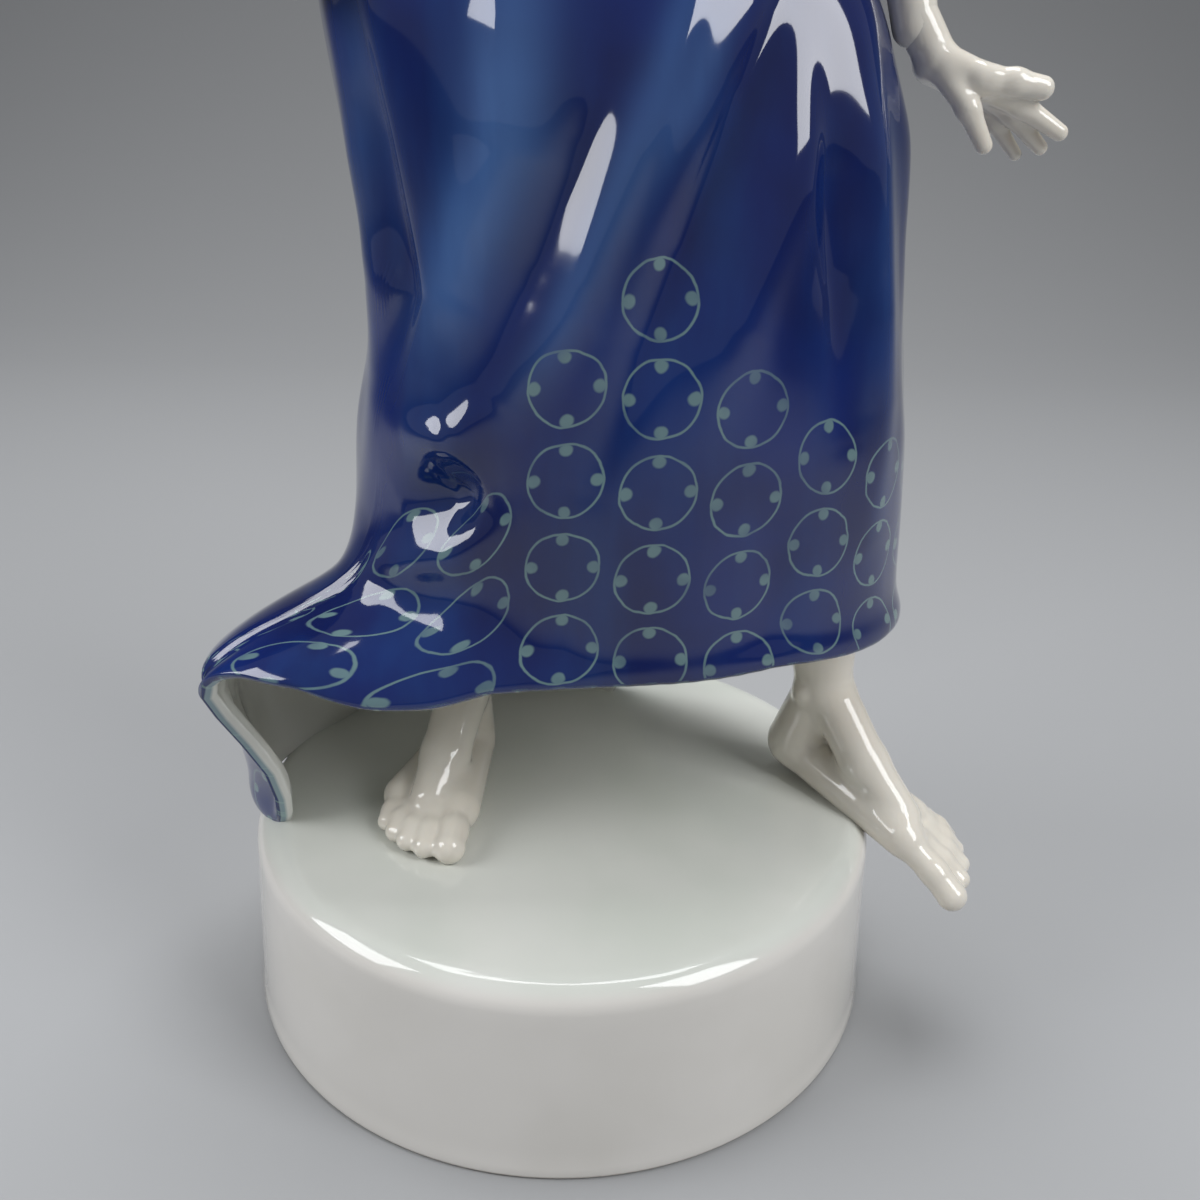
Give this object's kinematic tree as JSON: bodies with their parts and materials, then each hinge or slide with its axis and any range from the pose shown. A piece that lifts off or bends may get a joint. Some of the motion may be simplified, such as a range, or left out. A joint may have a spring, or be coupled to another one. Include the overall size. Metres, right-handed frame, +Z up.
{
  "type": "porcelain figurine",
  "caption": "Glazed porcelain figurine of a barefoot woman in a long patterned blue dress with a train, stepping off a round white plinth.",
  "frame": {"origin": "centre of the plinth's foot ring, on the surface it stands on", "axes": "+Z up; the figure faces -Y, so its own left side is towards +X"},
  "size_m": [0.1442, 0.1234, 0.3333],
  "materials": {
    "white_glaze": "glossy clear glaze over white porcelain",
    "blue_glaze": "glossy cobalt underglaze",
    "skin_glaze": "glossy cream-white glaze",
    "pale_glaze": "glossy pale blue-green glaze",
    "hair_glaze": "glossy brown underglaze"
  },
  "bodies": {
    "root": {"plinth": "white_glaze", "skirt": "blue_glaze", "train": "blue_glaze", "skirt_inner_floor": "white_glaze", "right_leg": "skin_glaze", "left_leg": "skin_glaze", "bodice": "blue_glaze", "sash": "pale_glaze", "neck_and_shoulders": "skin_glaze", "head": "skin_glaze", "hair_cap": "hair_glaze", "hair_bun": "hair_glaze", "left_sleeve": "blue_glaze", "right_sleeve": "blue_glaze", "left_arm": "skin_glaze", "right_arm": "skin_glaze", "left_hand": "skin_glaze", "right_hand": "skin_glaze"}
  },
  "joints": []
}
